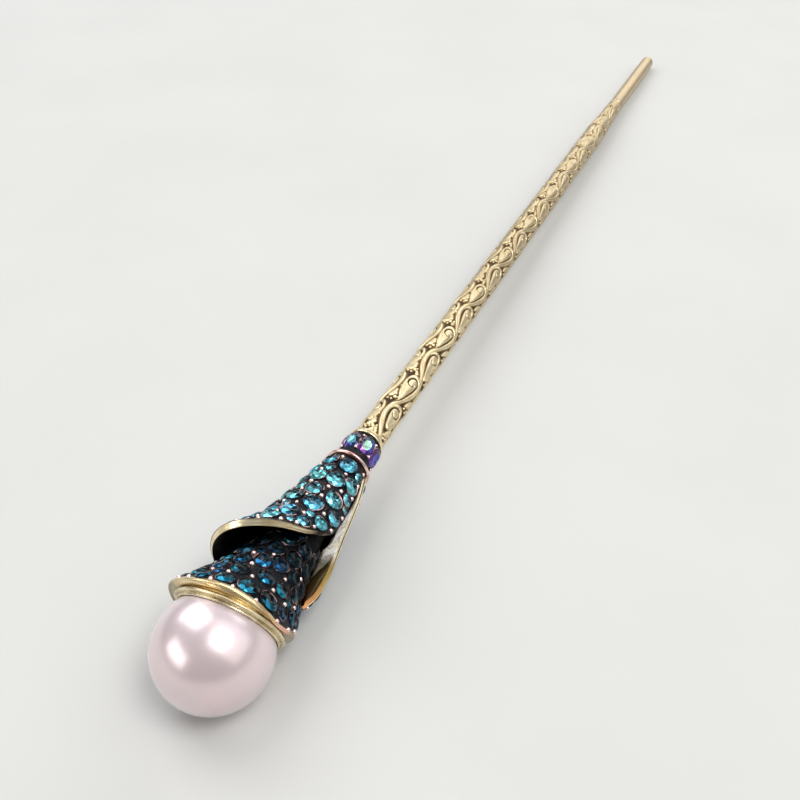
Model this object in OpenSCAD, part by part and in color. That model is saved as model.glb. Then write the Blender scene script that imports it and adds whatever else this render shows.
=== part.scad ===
// Hair stick lying on a flat surface: a slim cast stick whose head is a lily of two rolled
// metal petals, holding an imitation pearl in a stepped cup.
// Stick frame: +Z runs from the pearl's centre to the tip, and azimuth 0 is the side that
// faces up when the stick lies down, growing towards +X.

/* [Stick] */
// Length from the pearl's centre to the rounded end
stick_l = 190; // [170:1:205]
// Diameter over the raised scrollwork
scroll_d = 3.9; // [3.4:0.1:4.2]
// Diameter of the smooth end
tip_d = 2.8; // [2.4:0.1:3]
// Length of the smooth end with its round point
smooth_l = 34; // [20:1:40]
// Length over which the scrollwork thins towards the smooth end
thinning_l = 15; // [8:1:20]
// Diameter of the hidden post that carries the head
post_d = 2; // [1.6:0.1:2.2]

/* [Collar] */
// Distance from the pearl's centre to the collar's lower face
collar_z = 27.7; // [27.6:0.1:28]
// Height of the collar
collar_h = 5.4; // [5:0.1:6]
// Diameter over the wide lower band
lower_band_d = 5.6; // [5.2:0.1:6]
// Diameter over the narrow upper band
upper_band_d = 4.4; // [4.2:0.1:4.8]

/* [Pearl] */
// Diameter of the pearl
pearl_d = 12; // [11.8:0.1:12]
// Lean of the cup's axis away from the stick's axis, in degrees
cup_lean = 16.3; // [10:0.1:18]
// Azimuth that the cup's axis leans towards, in degrees
cup_lean_azimuth = -8; // [-30:1:30]
// Diameter of the hidden peg in the pearl
peg_d = 1.5; // [1:0.1:2]

/* [Petals] */
// Wall of the outer petal at its throat
throat_wall = 0.42; // [0.4:0.01:0.45]
// Wall of the outer petal at its mouth
mouth_wall = 0.75; // [0.6:0.05:0.8]
// Azimuth of the seam of the rolled outer petal, in degrees
petal_start = 84; // [80:1:90]

/* [Hidden] */
$fn = 96;
gap = 0.05;
pearl_r = pearl_d / 2;
tip_r = tip_d / 2;
post_r = post_d / 2;
dip_angle = asin((pearl_r - tip_r) / (stick_l - tip_r));

// Outer petal, by height above the pearl's centre.
// Columns: height, degrees of turn at which the free edge lies, how far the free edge stands out
OH_Z = 0;
OH_TURN = 1;
OH_CURL = 2;
outer_heights = [
    [ 8.8, 337, 0.30],
    [ 9.4, 337, 0.58],
    [11.0, 335, 0.98],
    [14.0, 336, 1.16],
    [16.0, 338, 1.15],
    [18.0, 340, 1.05],
    [20.0, 342, 1.00],
    [22.4, 345, 0.88],
    [25.0, 349, 0.62],
    [27.6, 355, 0.20]
];
// Outer petal's mouth, by degrees of turn from the seam.
// Columns: turn, height of the mouth's edge, radius of the mouth's edge
OM_TURN = 0;
OM_Z = 1;
OM_R = 2;
outer_mouth = [
    [  0, 20.2, 3.65],
    [  6, 18.4, 3.90],
    [ 12, 17.0, 4.10],
    [ 20, 16.3, 4.25],
    [ 37, 15.3, 4.45],
    [ 54, 14.2, 4.80],
    [ 83, 12.9, 5.55],
    [116, 11.2, 6.70],
    [147, 10.4, 7.15],
    [177, 10.2, 7.00],
    [207, 10.2, 6.50],
    [237, 10.2, 5.95],
    [267, 10.2, 5.45],
    [297, 10.0, 5.05],
    [320,  9.4, 4.75],
    [337,  8.8, 4.60]
];
throat_z = 27.6;
throat_r = 2.5;
petal_slope = 0.13;
outer_flare_power = 5.6;
// Part of the turn over which the free edge stands out, and how sharply
free_margin = 50;
free_power = 1.6;
outer_around = 80;
outer_along = 14;

// Inner petal's rim, by azimuth.
// Columns: azimuth, height of the rim, radius of the rim
IR_AZ = 0;
IR_Z = 1;
IR_R = 2;
inner_rim = [
    [-98, 3.7, 7.20],
    [-63, 2.9, 7.35],
    [-28, 2.3, 7.15],
    [ 12, 2.7, 6.70],
    [ 40, 3.0, 6.35],
    [ 62, 3.2, 6.05],
    [ 83, 4.2, 5.85],
    [105, 5.5, 5.75],
    [142, 6.2, 5.80],
    [172, 6.0, 6.10],
    [202, 5.5, 6.45],
    [232, 4.7, 6.85],
    [262, 3.7, 7.20]
];
inner_top_z = 22;
inner_top_r = 1.9;
inner_slope = 0.13;
inner_flare_power = 3.6;
inner_around = 60;
inner_along = 12;
// Rows crowd towards the flare by this power
row_power = 1.4;
// The pearl cup's seat under the inner petal, a part of a sphere about the pearl
seat_r = pearl_r + 0.4;
seat_angle = 54;
seat_rings = 9;
post_start = seat_r + gap;

// Lookup with smooth curves between the rows of a table
function row_of(t, x, i = 0) =
    i >= len(t) - 2 || x < t[i + 1][0] ? i : row_of(t, x, i + 1);
function slope_at(t, c, i) =
    let (a = max(i - 1, 0), b = min(i + 1, len(t) - 1))
    (t[b][c] - t[a][c]) / (t[b][0] - t[a][0]);
function smooth_lookup(t, c, x) =
    let (
        i = row_of(t, x),
        w = t[i + 1][0] - t[i][0],
        u = min(max((x - t[i][0]) / w, 0), 1),
        m0 = slope_at(t, c, i) * w,
        m1 = slope_at(t, c, i + 1) * w
    )
    t[i][c] * (1 + 2 * u) * (1 - u) * (1 - u) + m0 * u * (1 - u) * (1 - u)
    + t[i + 1][c] * u * u * (3 - 2 * u) + m1 * u * u * (u - 1);
function ramp(a, b, x) =
    let (u = min(max((x - a) / (b - a), 0), 1)) u * u * (3 - 2 * u);

function around(azimuth, r, z) = [r * sin(azimuth), -r * cos(azimuth), z];

// Where the surface under the lying stick cuts in, in the stick frame
function above_table(p) =
    [p.x, min(p.y, (pearl_r - p.z * sin(dip_angle)) / cos(dip_angle)), p.z];

// Outer petal: a sheet rolled about the stick, v around it and k from throat to mouth
function petal_mouth_z(turn) = smooth_lookup(outer_mouth, OM_Z, turn);
function petal_cone_r(z) = throat_r + petal_slope * (throat_z - z);
function petal_height(v, k) =
    let (turn = v * outer_heights[0][OH_TURN])
    throat_z + (petal_mouth_z(turn) - throat_z) * k;
function petal_turn(v, k) =
    v * smooth_lookup(outer_heights, OH_TURN, petal_height(v, k));
function petal_r(v, k) =
    let (
        turn = petal_turn(v, k),
        z = petal_height(v, k),
        flare = smooth_lookup(outer_mouth, OM_R, turn) - petal_cone_r(petal_mouth_z(turn)),
        margin = max(turn - smooth_lookup(outer_heights, OH_TURN, z) + free_margin, 0)
    )
    petal_cone_r(z) + flare * pow(k, outer_flare_power)
    + smooth_lookup(outer_heights, OH_CURL, z) * pow(margin / free_margin, free_power);
function petal_wall(v, k) =
    throat_wall + (mouth_wall - throat_wall) * pow(k, 3) * (1 - 0.5 * ramp(0.6, 0.85, v));
function petal_outside(v, k) =
    around(petal_start - petal_turn(v, k), petal_r(v, k), petal_height(v, k));
function petal_inside(v, k) =
    let (
        step = 0.02,
        k0 = max(k - step, 0),
        k1 = min(k + step, 1),
        rise = petal_r(v, k1) - petal_r(v, k0),
        drop = petal_height(v, k0) - petal_height(v, k1),
        lean = atan2(rise, drop),
        wall = petal_wall(v, k)
    )
    around(
        petal_start - petal_turn(v, k),
        petal_r(v, k) - wall * cos(lean),
        petal_height(v, k) - wall * sin(lean)
    );

// Two triangles for each cell of a grid of points, n points in a row
function cell(a, b, c, d) = [[a, b, c], [a, c, d]];

module sheet(outside, inside, rows, cols) {
    size = (rows + 1) * (cols + 1);
    function at(j, i, side) = side * size + j * (cols + 1) + i;
    faces = [
        for (j = [0 : rows - 1], i = [0 : cols - 1], q = [0, 1])
            each [
                cell(at(j, i, 0), at(j + 1, i, 0), at(j + 1, i + 1, 0), at(j, i + 1, 0))[q],
                cell(at(j, i, 1), at(j, i + 1, 1), at(j + 1, i + 1, 1), at(j + 1, i, 1))[q]
            ],
        for (i = [0 : cols - 1], q = [0, 1])
            each [
                cell(at(0, i, 0), at(0, i + 1, 0), at(0, i + 1, 1), at(0, i, 1))[q],
                cell(at(rows, i, 0), at(rows, i, 1), at(rows, i + 1, 1), at(rows, i + 1, 0))[q]
            ],
        for (j = [0 : rows - 1], q = [0, 1])
            each [
                cell(at(j, 0, 0), at(j, 0, 1), at(j + 1, 0, 1), at(j + 1, 0, 0))[q],
                cell(at(j, cols, 0), at(j + 1, cols, 0), at(j + 1, cols, 1), at(j, cols, 1))[q]
            ]
    ];
    polyhedron(points = concat(outside, inside), faces = faces, convexity = 10);
}

// Rings of points joined into a closed tube that ends where it began
module ring_solid(rings, cols) {
    rows = len(rings);
    function at(j, i) = (j % rows) * cols + i % cols;
    faces = [
        for (j = [0 : rows - 1], i = [0 : cols - 1], q = [0, 1])
            cell(at(j, i), at(j, i + 1), at(j + 1, i + 1), at(j + 1, i))[q]
    ];
    polyhedron(points = [for (r = rings) each r], faces = faces, convexity = 10);
}

function inner_r(azimuth, k) =
    let (
        rim_z = smooth_lookup(inner_rim, IR_Z, azimuth),
        z = inner_top_z + (rim_z - inner_top_z) * k,
        cone = inner_top_r + inner_slope * (inner_top_z - z),
        full = inner_top_r + inner_slope * (inner_top_z - rim_z)
    )
    cone + (smooth_lookup(inner_rim, IR_R, azimuth) - full) * pow(k, inner_flare_power);
function inner_point(azimuth, k) =
    above_table(around(
        azimuth,
        inner_r(azimuth, k),
        inner_top_z + (smooth_lookup(inner_rim, IR_Z, azimuth) - inner_top_z) * k
    ));
// Directions in the leaning cup's frame, turned into the stick frame
function lean(p) =
    let (
        y = p.y * cos(cup_lean) - p.z * sin(cup_lean),
        z = p.y * sin(cup_lean) + p.z * cos(cup_lean),
        a = cup_lean_azimuth
    )
    [p.x * cos(a) - y * sin(a), p.x * sin(a) + y * cos(a), z];
function unit(p) = p / norm(p);
// Underside of the inner petal: the cup's seat, q from its edge in to the post
function seat_point(azimuth, q) =
    let (
        edge = lean(around(azimuth - cup_lean_azimuth, sin(seat_angle), cos(seat_angle))),
        polar = asin((post_r + gap) / seat_r),
        bore = around(azimuth, sin(polar), cos(polar))
    )
    seat_r * unit(edge * (1 - q) + bore * q);

module lay_down() {
    translate([side_shift, -length_shift, pearl_r])
        rotate([-90 - dip_angle, 0, 0])
            children();
}
length_shift = ((stick_l - tip_r) * cos(dip_angle) + tip_r - pearl_r) / 2;
left_reach = max([for (a = [inner_rim[0][IR_AZ] : 2 : 0]) -inner_point(a, 1).x]);
side_shift = (left_reach - pearl_r) / 2;

module lean_with_cup() {
    rotate([0, 0, cup_lean_azimuth])
        rotate([cup_lean, 0, 0])
            children();
}

// Stick with its scrollwork length, smooth end and hidden post
shoulder_z = collar_z + collar_h + gap;
scroll_end_z = stick_l - smooth_l;
module shaft() {
    scroll_r = scroll_d / 2;
    thin_z = scroll_end_z - thinning_l;
    color([0.76, 0.68, 0.47])
        lay_down()
            rotate_extrude()
                difference() {
                    union() {
                        polygon([
                            [0, post_start],
                            [post_r, post_start],
                            [post_r, shoulder_z],
                            [scroll_r - 0.1, shoulder_z],
                            [scroll_r, shoulder_z + 0.4],
                            [scroll_r, thin_z],
                            [tip_r + 0.25, thin_z + 0.4 * thinning_l],
                            [tip_r + 0.1, scroll_end_z - 1],
                            [tip_r, scroll_end_z],
                            [tip_r, stick_l - tip_r],
                            [0, stick_l - tip_r]
                        ]);
                        translate([0, stick_l - tip_r])
                            circle(tip_r);
                    }
                    translate([-tip_r - 1, 0])
                        square([tip_r + 1, stick_l + 1]);
                }
}

// Collar: a boss inside the petal's throat, the lower band, a waist for the stones, the upper band
module collar() {
    low_r = lower_band_d / 2;
    top_r = upper_band_d / 2;
    top_z = collar_z + collar_h;
    boss_r = 1.55;
    boss_l = 2.2;
    color([0.80, 0.62, 0.52])
        lay_down()
            rotate_extrude()
                polygon([
                    [post_r + gap, collar_z - boss_l],
                    [boss_r, collar_z - boss_l],
                    [boss_r, collar_z],
                    [low_r - 0.15, collar_z],
                    [low_r, collar_z + 0.15],
                    [low_r, collar_z + 0.45],
                    [low_r - 0.2, collar_z + 0.6],
                    [low_r - 0.55, collar_z + 0.9],
                    [top_r - 0.25, top_z - 1.2],
                    [top_r - 0.05, top_z - 0.8],
                    [top_r, top_z - 0.65],
                    [top_r, top_z - 0.25],
                    [top_r - 0.15, top_z],
                    [post_r + gap, top_z]
                ]);
}

module outer_petal() {
    ks = [for (j = [0 : outer_along]) 1 - pow(1 - j / outer_along, row_power)];
    color([0.20, 0.62, 0.68])
        lay_down()
            sheet(
                [for (k = ks, i = [0 : outer_around]) petal_outside(i / outer_around, k)],
                [for (k = ks, i = [0 : outer_around]) petal_inside(i / outer_around, k)],
                outer_along,
                outer_around
            );
}

module inner_petal() {
    step = 360 / inner_around;
    azimuths = [for (i = [0 : inner_around - 1]) inner_rim[0][IR_AZ] + i * step];
    bore_r = post_r + gap;
    color([0.05, 0.36, 0.48])
        lay_down()
            ring_solid([
                for (j = [0 : inner_along])
                    let (k = 1 - pow(1 - j / inner_along, row_power))
                        [for (a = azimuths) inner_point(a, k)],
                for (j = [0 : seat_rings])
                    [for (a = azimuths) seat_point(a, j / seat_rings)],
                [for (a = azimuths) around(a, bore_r, inner_top_z)]
            ], inner_around);
}

// Stepped cup round the top of the pearl, with a peg into it
cup_lip_angle = 61.6;
module pearl_cup() {
    inside_r = pearl_r + gap;
    outside_r = seat_r - gap;
    lip = inside_r * [sin(cup_lip_angle), cos(cup_lip_angle)];
    color([0.82, 0.74, 0.50])
        lay_down()
            lean_with_cup()
                union() {
                    rotate_extrude()
                        polygon([
                            for (a = [0 : 2.8 : cup_lip_angle])
                                inside_r * [sin(a), cos(a)],
                            lip + [0.05, -0.05],
                            lip + [0.18, 0.02],
                            lip + [0.18, 0.16],
                            lip + [0.14, 0.24],
                            lip + [0.40, 0.24],
                            lip + [0.56, 0.34],
                            lip + [0.60, 0.46],
                            lip + [0.50, 0.58],
                            lip + [-0.12, 0.74],
                            for (a = [52 : -2.6 : 0]) outside_r * [sin(a), cos(a)]
                        ]);
                    translate([0, 0, pearl_r - 3])
                        cylinder(d = peg_d, h = 3.2);
                }
}

module pearl() {
    color([0.93, 0.88, 0.88])
        lay_down()
            difference() {
                sphere(pearl_r);
                lean_with_cup()
                    translate([0, 0, pearl_r - 3.1])
                        cylinder(d = peg_d + 2 * gap, h = 4);
            }
}

shaft();
collar();
outer_petal();
inner_petal();
pearl_cup();
pearl();
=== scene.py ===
import math
import bpy
import numpy as np
from mathutils import Matrix, Vector


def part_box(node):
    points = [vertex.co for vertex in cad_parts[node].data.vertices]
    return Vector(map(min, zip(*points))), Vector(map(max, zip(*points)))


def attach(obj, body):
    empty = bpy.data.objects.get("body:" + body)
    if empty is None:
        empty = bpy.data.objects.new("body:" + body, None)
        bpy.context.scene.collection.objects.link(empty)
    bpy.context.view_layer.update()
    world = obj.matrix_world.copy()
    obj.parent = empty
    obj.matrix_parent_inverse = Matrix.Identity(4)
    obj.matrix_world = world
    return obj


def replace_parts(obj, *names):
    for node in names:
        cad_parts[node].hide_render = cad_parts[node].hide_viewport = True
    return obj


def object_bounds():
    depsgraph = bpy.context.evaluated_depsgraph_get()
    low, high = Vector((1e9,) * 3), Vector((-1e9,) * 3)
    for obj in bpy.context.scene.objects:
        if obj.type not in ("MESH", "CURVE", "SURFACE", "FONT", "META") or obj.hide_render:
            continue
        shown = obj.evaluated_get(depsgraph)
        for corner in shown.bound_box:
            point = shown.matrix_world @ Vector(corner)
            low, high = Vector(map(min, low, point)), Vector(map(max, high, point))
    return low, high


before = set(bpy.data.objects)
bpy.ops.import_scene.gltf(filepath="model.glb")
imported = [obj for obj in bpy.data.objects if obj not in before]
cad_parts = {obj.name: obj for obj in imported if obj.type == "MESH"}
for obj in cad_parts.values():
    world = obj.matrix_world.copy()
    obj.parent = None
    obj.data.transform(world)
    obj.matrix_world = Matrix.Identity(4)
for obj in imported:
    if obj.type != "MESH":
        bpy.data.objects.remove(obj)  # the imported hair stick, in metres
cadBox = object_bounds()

mm = 0.001
root = "root"

stick = {
    "length": 190.0,  # pearl's centre to the rounded end, mm
    "pearlR": 6.0,
    "tipR": 1.4,
    "scrollR": 1.95,
    "postR": 1.0,  # the hidden post that carries the head
    "postFrom": 6.5,
    "boreR": 1.05,  # bores round the post
}
low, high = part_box("pearl")
pearlCentre = (np.array(low) + np.array(high)) / 2
sinDip = (stick["pearlR"] - stick["tipR"]) / (stick["length"] - stick["tipR"])
cosDip = math.sqrt(1 - sinDip**2)


def layDirection(n):
    # from the stick's own axes, z along the stick and azimuth 0 upwards, to the row's
    n = np.asarray(n, float)
    x, y, z = n[..., 0], n[..., 1], n[..., 2]
    return np.stack([x, z * cosDip - y * sinDip, -y * cosDip - z * sinDip], -1)


def layDown(points):
    # from mm in the stick's own frame to metres in the row's frame
    return layDirection(points) * mm + pearlCentre


def fitsBox(points, normals, r, proud):
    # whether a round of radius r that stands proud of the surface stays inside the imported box
    w, n = layDown(points) / mm, layDirection(normals)
    spread = r * np.sqrt(np.clip(1 - n**2, 0, 1))
    top = w + spread + proud * np.clip(n, 0, None)
    bottom = w - spread - proud * np.clip(-n, 0, None)
    low, high = (np.array(c) / mm for c in cadBox)
    return (top < high - 0.01).all(-1) & (bottom > low + 0.01).all(-1)


def around(azimuth, r, z):
    a = np.radians(azimuth)
    return np.stack(np.broadcast_arrays(r * np.sin(a), -r * np.cos(a), z), -1)


def unit(v):
    return v / np.linalg.norm(v, axis=-1, keepdims=True)


def putIn(name, data):
    # a new object in the scene
    made = bpy.data.objects.new(name, data)
    bpy.context.scene.collection.objects.link(made)
    return made


view = {
    "focal": 40.5,
    "sensor": 36.0,
    "clip": 0.005,
    "pitch": 39.74,  # degrees below the horizon
    "heading": 24.46,  # degrees from +Y towards -X
    "fromPearl": (36.98, -38.55, 72.80),  # mm
}


def placeCamera():
    pitch, heading = math.radians(view["pitch"]), math.radians(view["heading"])
    level = math.cos(pitch)
    ahead = Vector((-math.sin(heading) * level, math.cos(heading) * level, -math.sin(pitch)))
    right = Vector((math.cos(heading), math.sin(heading), 0))
    lens = bpy.data.cameras.new("camera")
    lens.lens = view["focal"]
    lens.sensor_width = view["sensor"]
    lens.clip_start = view["clip"]
    camera = putIn("camera", lens)
    turned = Matrix((right, right.cross(ahead), -ahead)).transposed().to_4x4()
    place = Vector(pearlCentre) + Vector(view["fromPearl"]) * mm
    camera.matrix_world = Matrix.Translation(place) @ turned
    bpy.context.scene.camera = camera


placeCamera()
print("camera placed")


class Val:  # a socket, so that arithmetic on it adds Math nodes
    def __init__(self, paint, socket):
        self.paint, self.socket = paint, socket

    def maths(self, operation, *values):
        return self.paint.node("ShaderNodeMath", {"operation": operation}, values)

    def __add__(self, other):
        return self.maths("ADD", self, other)

    def __sub__(self, other):
        return self.maths("SUBTRACT", self, other)

    def __rsub__(self, other):
        return self.maths("SUBTRACT", other, self)

    def __mul__(self, other):
        return self.maths("MULTIPLY", self, other)

    __radd__ = __add__
    __rmul__ = __mul__

    def between(self, a, b):  # 0 at a, 1 at b, smooth
        inputs = {"Value": self, "From Min": a, "From Max": b}
        return self.paint.node("ShaderNodeMapRange", {"interpolation_type": "SMOOTHSTEP"}, inputs)


class Paint:  # a material being mixed
    def __init__(self, name):
        self.material = bpy.data.materials.new(name)
        self.material.use_nodes = True
        self.tree = self.material.node_tree
        self.tree.nodes.clear()

    def node(self, kind, settings=None, inputs=None, out=0):
        made = self.tree.nodes.new(kind)
        for key, value in (settings or {}).items():
            if key == "stops":
                ramp = made.color_ramp
                while len(ramp.elements) < len(value):
                    ramp.elements.new(0.5)
                for element, (place, colour) in zip(ramp.elements, value):
                    element.position = place
                    element.color = (*colour, 1)
            else:
                setattr(made, key, value)
        pairs = inputs.items() if isinstance(inputs, dict) else enumerate(inputs or [])
        for key, value in pairs:
            socket = made.inputs[key]
            if isinstance(value, Val):
                self.tree.links.new(value.socket, socket)
            else:
                socket.default_value = value
        return Val(self, made.outputs[out]) if len(made.outputs) else None

    def noise(self, scale, detail, rough, stretch=None):
        at = self.node("ShaderNodeTexCoord", out=3)
        if stretch:
            at = self.node("ShaderNodeMapping", {}, {0: at, 3: stretch})
        inputs = {"Vector": at, "Scale": scale, "Detail": detail, "Roughness": rough}
        return self.node("ShaderNodeTexNoise", {}, inputs)

    def cells(self, scale):
        at = self.node("ShaderNodeTexCoord", out=3)
        return self.node("ShaderNodeTexVoronoi", {}, {"Vector": at, "Scale": scale})

    def mark(self, name, out=2):  # a value stored on the mesh
        return self.node("ShaderNodeAttribute", {"attribute_name": name}, out=out)

    def ramp(self, value, stops):
        return self.node("ShaderNodeValToRGB", {"stops": stops}, [value])

    def mix(self, factor, a, b):
        a, b = (c if isinstance(c, Val) else (*c, 1) for c in (a, b))
        return self.node("ShaderNodeMix", {"data_type": "RGBA"}, {0: factor, 6: a, 7: b}, out=2)

    def bump(self, height, strength, depth):
        inputs = {"Height": height, "Strength": strength, "Distance": depth}
        return self.node("ShaderNodeBump", {}, inputs)

    def finish(self, **sockets):
        inputs = {}
        for key, value in sockets.items():
            socket = key.replace("_", " ").title().replace("Ior", "IOR")
            inputs[socket] = (*value, 1) if isinstance(value, tuple) else value
        shader = self.node("ShaderNodeBsdfPrincipled", {}, inputs)
        self.node("ShaderNodeOutputMaterial", {}, {"Surface": shader})
        return self.material


def makePiece(name, points, faces, materials, smooth=True, marks=None, worn=None, colours=None):
    # points in metres; marks are values on the points, worn the material's number on each face
    mesh = bpy.data.meshes.new(name)
    mesh.from_pydata(np.asarray(points).tolist(), [], [list(f) for f in faces])
    for material in materials:
        mesh.materials.append(material)
    mesh.polygons.foreach_set("use_smooth", np.full(len(mesh.polygons), smooth))
    if worn is not None:
        mesh.polygons.foreach_set("material_index", np.asarray(worn, np.int32))
    for key, values in (marks or {}).items():
        mark = mesh.attributes.new(key, "FLOAT", "POINT")
        mark.data.foreach_set("value", np.asarray(values, np.float32).ravel())
    if colours is not None:  # one colour for each face, on its corners
        tint = mesh.color_attributes.new("tint", "FLOAT_COLOR", "CORNER")
        counts = [len(f) for f in faces]
        full = np.c_[np.asarray(colours, np.float32), np.ones(len(faces), np.float32)]
        tint.data.foreach_set("color", np.repeat(full, counts, axis=0).ravel())
    mesh.update()
    piece = putIn(name, mesh)
    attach(piece, root)
    return piece


def gridFaces(rows, cols, closed=False, looped=False, start=0, flip=False):
    # quads of a grid of points; closed joins the last column to the first, looped the last row
    faces = []
    for j in range(rows if looped else rows - 1):
        for i in range(cols if closed else cols - 1):
            m, n = (j + 1) % rows, (i + 1) % cols
            quad = (j * cols + i, j * cols + n, m * cols + n, m * cols + i)
            faces.append(tuple(start + q for q in (quad[::-1] if flip else quad)))
    return faces


def capFaces(rows, cols, start=0):
    # one flat face on the last ring of a closed grid and one on its first
    first, last = range(start, start + cols), range(start + (rows - 1) * cols, start + rows * cols)
    return [tuple(last), tuple(first)[::-1]]


def turnedProfile(profile, cols):
    # a ring of points for each (r, z) of a profile, as one array
    azimuths = np.arange(cols) * 360 / cols
    return np.concatenate([around(azimuths, r, z) for r, z in profile])


def roundProfile(corners, radius, steps=4):
    # a profile with its corners rounded by short arcs
    out = [corners[0]]
    for a, b, c in zip(corners, corners[1:], corners[2:]):
        a, b, c = map(np.array, (a, b, c))
        ab, bc = np.linalg.norm(a - b), np.linalg.norm(c - b)
        cut = min(radius, ab * 0.45, bc * 0.45)
        p0, p1 = b + (a - b) / ab * cut, b + (c - b) / bc * cut
        for s in np.linspace(0, 1, steps):
            out.append(tuple((1 - s) ** 2 * p0 + 2 * s * (1 - s) * b + s**2 * p1))
    return out + [corners[-1]]


def smoothLookup(table, column, x):
    # smooth curves between the rows of a table
    t = np.asarray(table, float)
    xs, ys = t[:, 0], t[:, column]
    before = np.maximum(np.arange(len(xs)) - 1, 0)
    after = np.minimum(np.arange(len(xs)) + 1, len(xs) - 1)
    slopes = (ys[after] - ys[before]) / (xs[after] - xs[before])
    i = np.clip(np.searchsorted(xs, x, "right") - 1, 0, len(xs) - 2)
    w = xs[i + 1] - xs[i]
    u = np.clip((x - xs[i]) / w, 0, 1)
    return (
        ys[i] * (1 + 2 * u) * (1 - u) ** 2
        + slopes[i] * w * u * (1 - u) ** 2
        + ys[i + 1] * u * u * (3 - 2 * u)
        + slopes[i + 1] * w * u * u * (u - 1)
    )


def rampTo(a, b, x):
    # 0 before a, 1 after b, smooth between
    u = np.clip((x - a) / (b - a), 0, 1)
    return u * u * (3 - 2 * u)


def hump(a, b, c, d, x):
    # rises from a to b and falls from c to d
    return rampTo(a, b, x) * (1 - rampTo(c, d, x))


def crowded(count):
    # 0 to 1, closer together towards 1
    return 1 - (1 - np.linspace(0, 1, count)) ** 1.4


def castGold():
    # raised scrolls rubbed bright over a brown patina
    paint = Paint("castGold")
    relief = paint.mark("relief")
    along = paint.mark("along")
    cloud = paint.noise(700, 4, 0.6)
    grit = paint.noise(4200, 3, 0.6)
    worn = relief + (cloud - 0.5) * 0.22 + (grit - 0.5) * 0.12
    colour = paint.ramp(worn, [
        (0.08, (0.045, 0.028, 0.012)), (0.34, (0.13, 0.072, 0.027)), (0.54, (0.38, 0.26, 0.11)),
        (0.74, (0.80, 0.68, 0.43)),
    ])
    warm = paint.mix(cloud.between(0.42, 0.66), (0.82, 0.71, 0.465), (0.72, 0.57, 0.32))
    # a darker tone towards the tip
    tipwardTone = paint.mix(cloud.between(0.40, 0.65), (0.51, 0.42, 0.265), (0.44, 0.335, 0.185))
    warm = paint.mix(along.between(0.22, 0.46), warm, tipwardTone)  # duller towards the tip
    colour = paint.mix(worn.between(0.6, 0.95), colour, warm)
    colour = paint.mix(along.between(0.80, 0.88) * 0.8, colour, (0.55, 0.43, 0.26))
    rough = 0.46 - worn.between(0.3, 0.9) * 0.10 + (grit - 0.5) * 0.14
    metal = 0.55 + worn.between(0.2, 0.8) * 0.35
    bump = paint.bump(grit * 0.5 + cloud, 0.38, 0.0001)
    return paint.finish(base_color=colour, metallic=metal, roughness=rough, normal=bump)


def plateGold(name, bright, deep, rough, metal, brush=0.12, warm=None, dim=None):
    # polished plating with faint polishing lines and a deeper tone in places
    paint = Paint(name)
    cloud = paint.noise(420, 4, 0.55)
    lines = paint.noise(2600, 2, 0.5, stretch=(1.0, 0.18, 1.0))
    grit = paint.noise(7000, 2, 0.5)
    colour = paint.mix(cloud.between(0.38, 0.68), bright, deep)
    if warm:  # rose plating that shows through where the mesh is marked
        colour = paint.mix((paint.mark("warm") + (cloud - 0.5) * 0.6).between(0.3, 0.8), colour, warm)
    if dim:  # painted shade: dark olive where the mesh is marked
        colour = paint.mix((paint.mark("dim") + (cloud - 0.5) * 0.5).between(0.2, 0.9), colour, dim)
    roughness = rough + (lines - 0.5) * 0.12 + (cloud - 0.5) * 0.1
    bump = paint.bump(lines + grit * 0.4, brush, 0.00003)
    return paint.finish(base_color=colour, metallic=metal, roughness=roughness, normal=bump)


def darkGround(name, tint, shaded=False):
    # blackened metal between the stones, with a little rubbed warm metal
    paint = Paint(name)
    cloud = paint.noise(1500, 4, 0.6)
    pits = paint.cells(4200)
    colour = paint.mix(cloud.between(0.52, 0.75), tint, (0.075, 0.032, 0.038))
    bump = paint.bump(pits + cloud, 0.5, 0.00012)
    rough = 0.30 + cloud * 0.25
    if shaded:  # painted shade: near black deep in the mouth, and rougher there
        soot = paint.mark("soot")
        colour = paint.mix(soot, colour, (0.002, 0.002, 0.003))
        rough = rough + soot * 0.35
    return paint.finish(base_color=colour, metallic=0.7, roughness=rough, normal=bump,
                        specular_ior_level=0.25)


def bezelEdge(name, black, rose, tint):
    # rubbed rose metal on the edge round a stone, left black in places
    paint = Paint(name)
    cloud = paint.noise(900, 3, 0.6)
    colour = paint.mix(cloud.between(black, rose), (0.022, 0.016, 0.020), tint)
    return paint.finish(base_color=colour, metallic=0.9, roughness=0.28 + cloud * 0.2)


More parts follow.
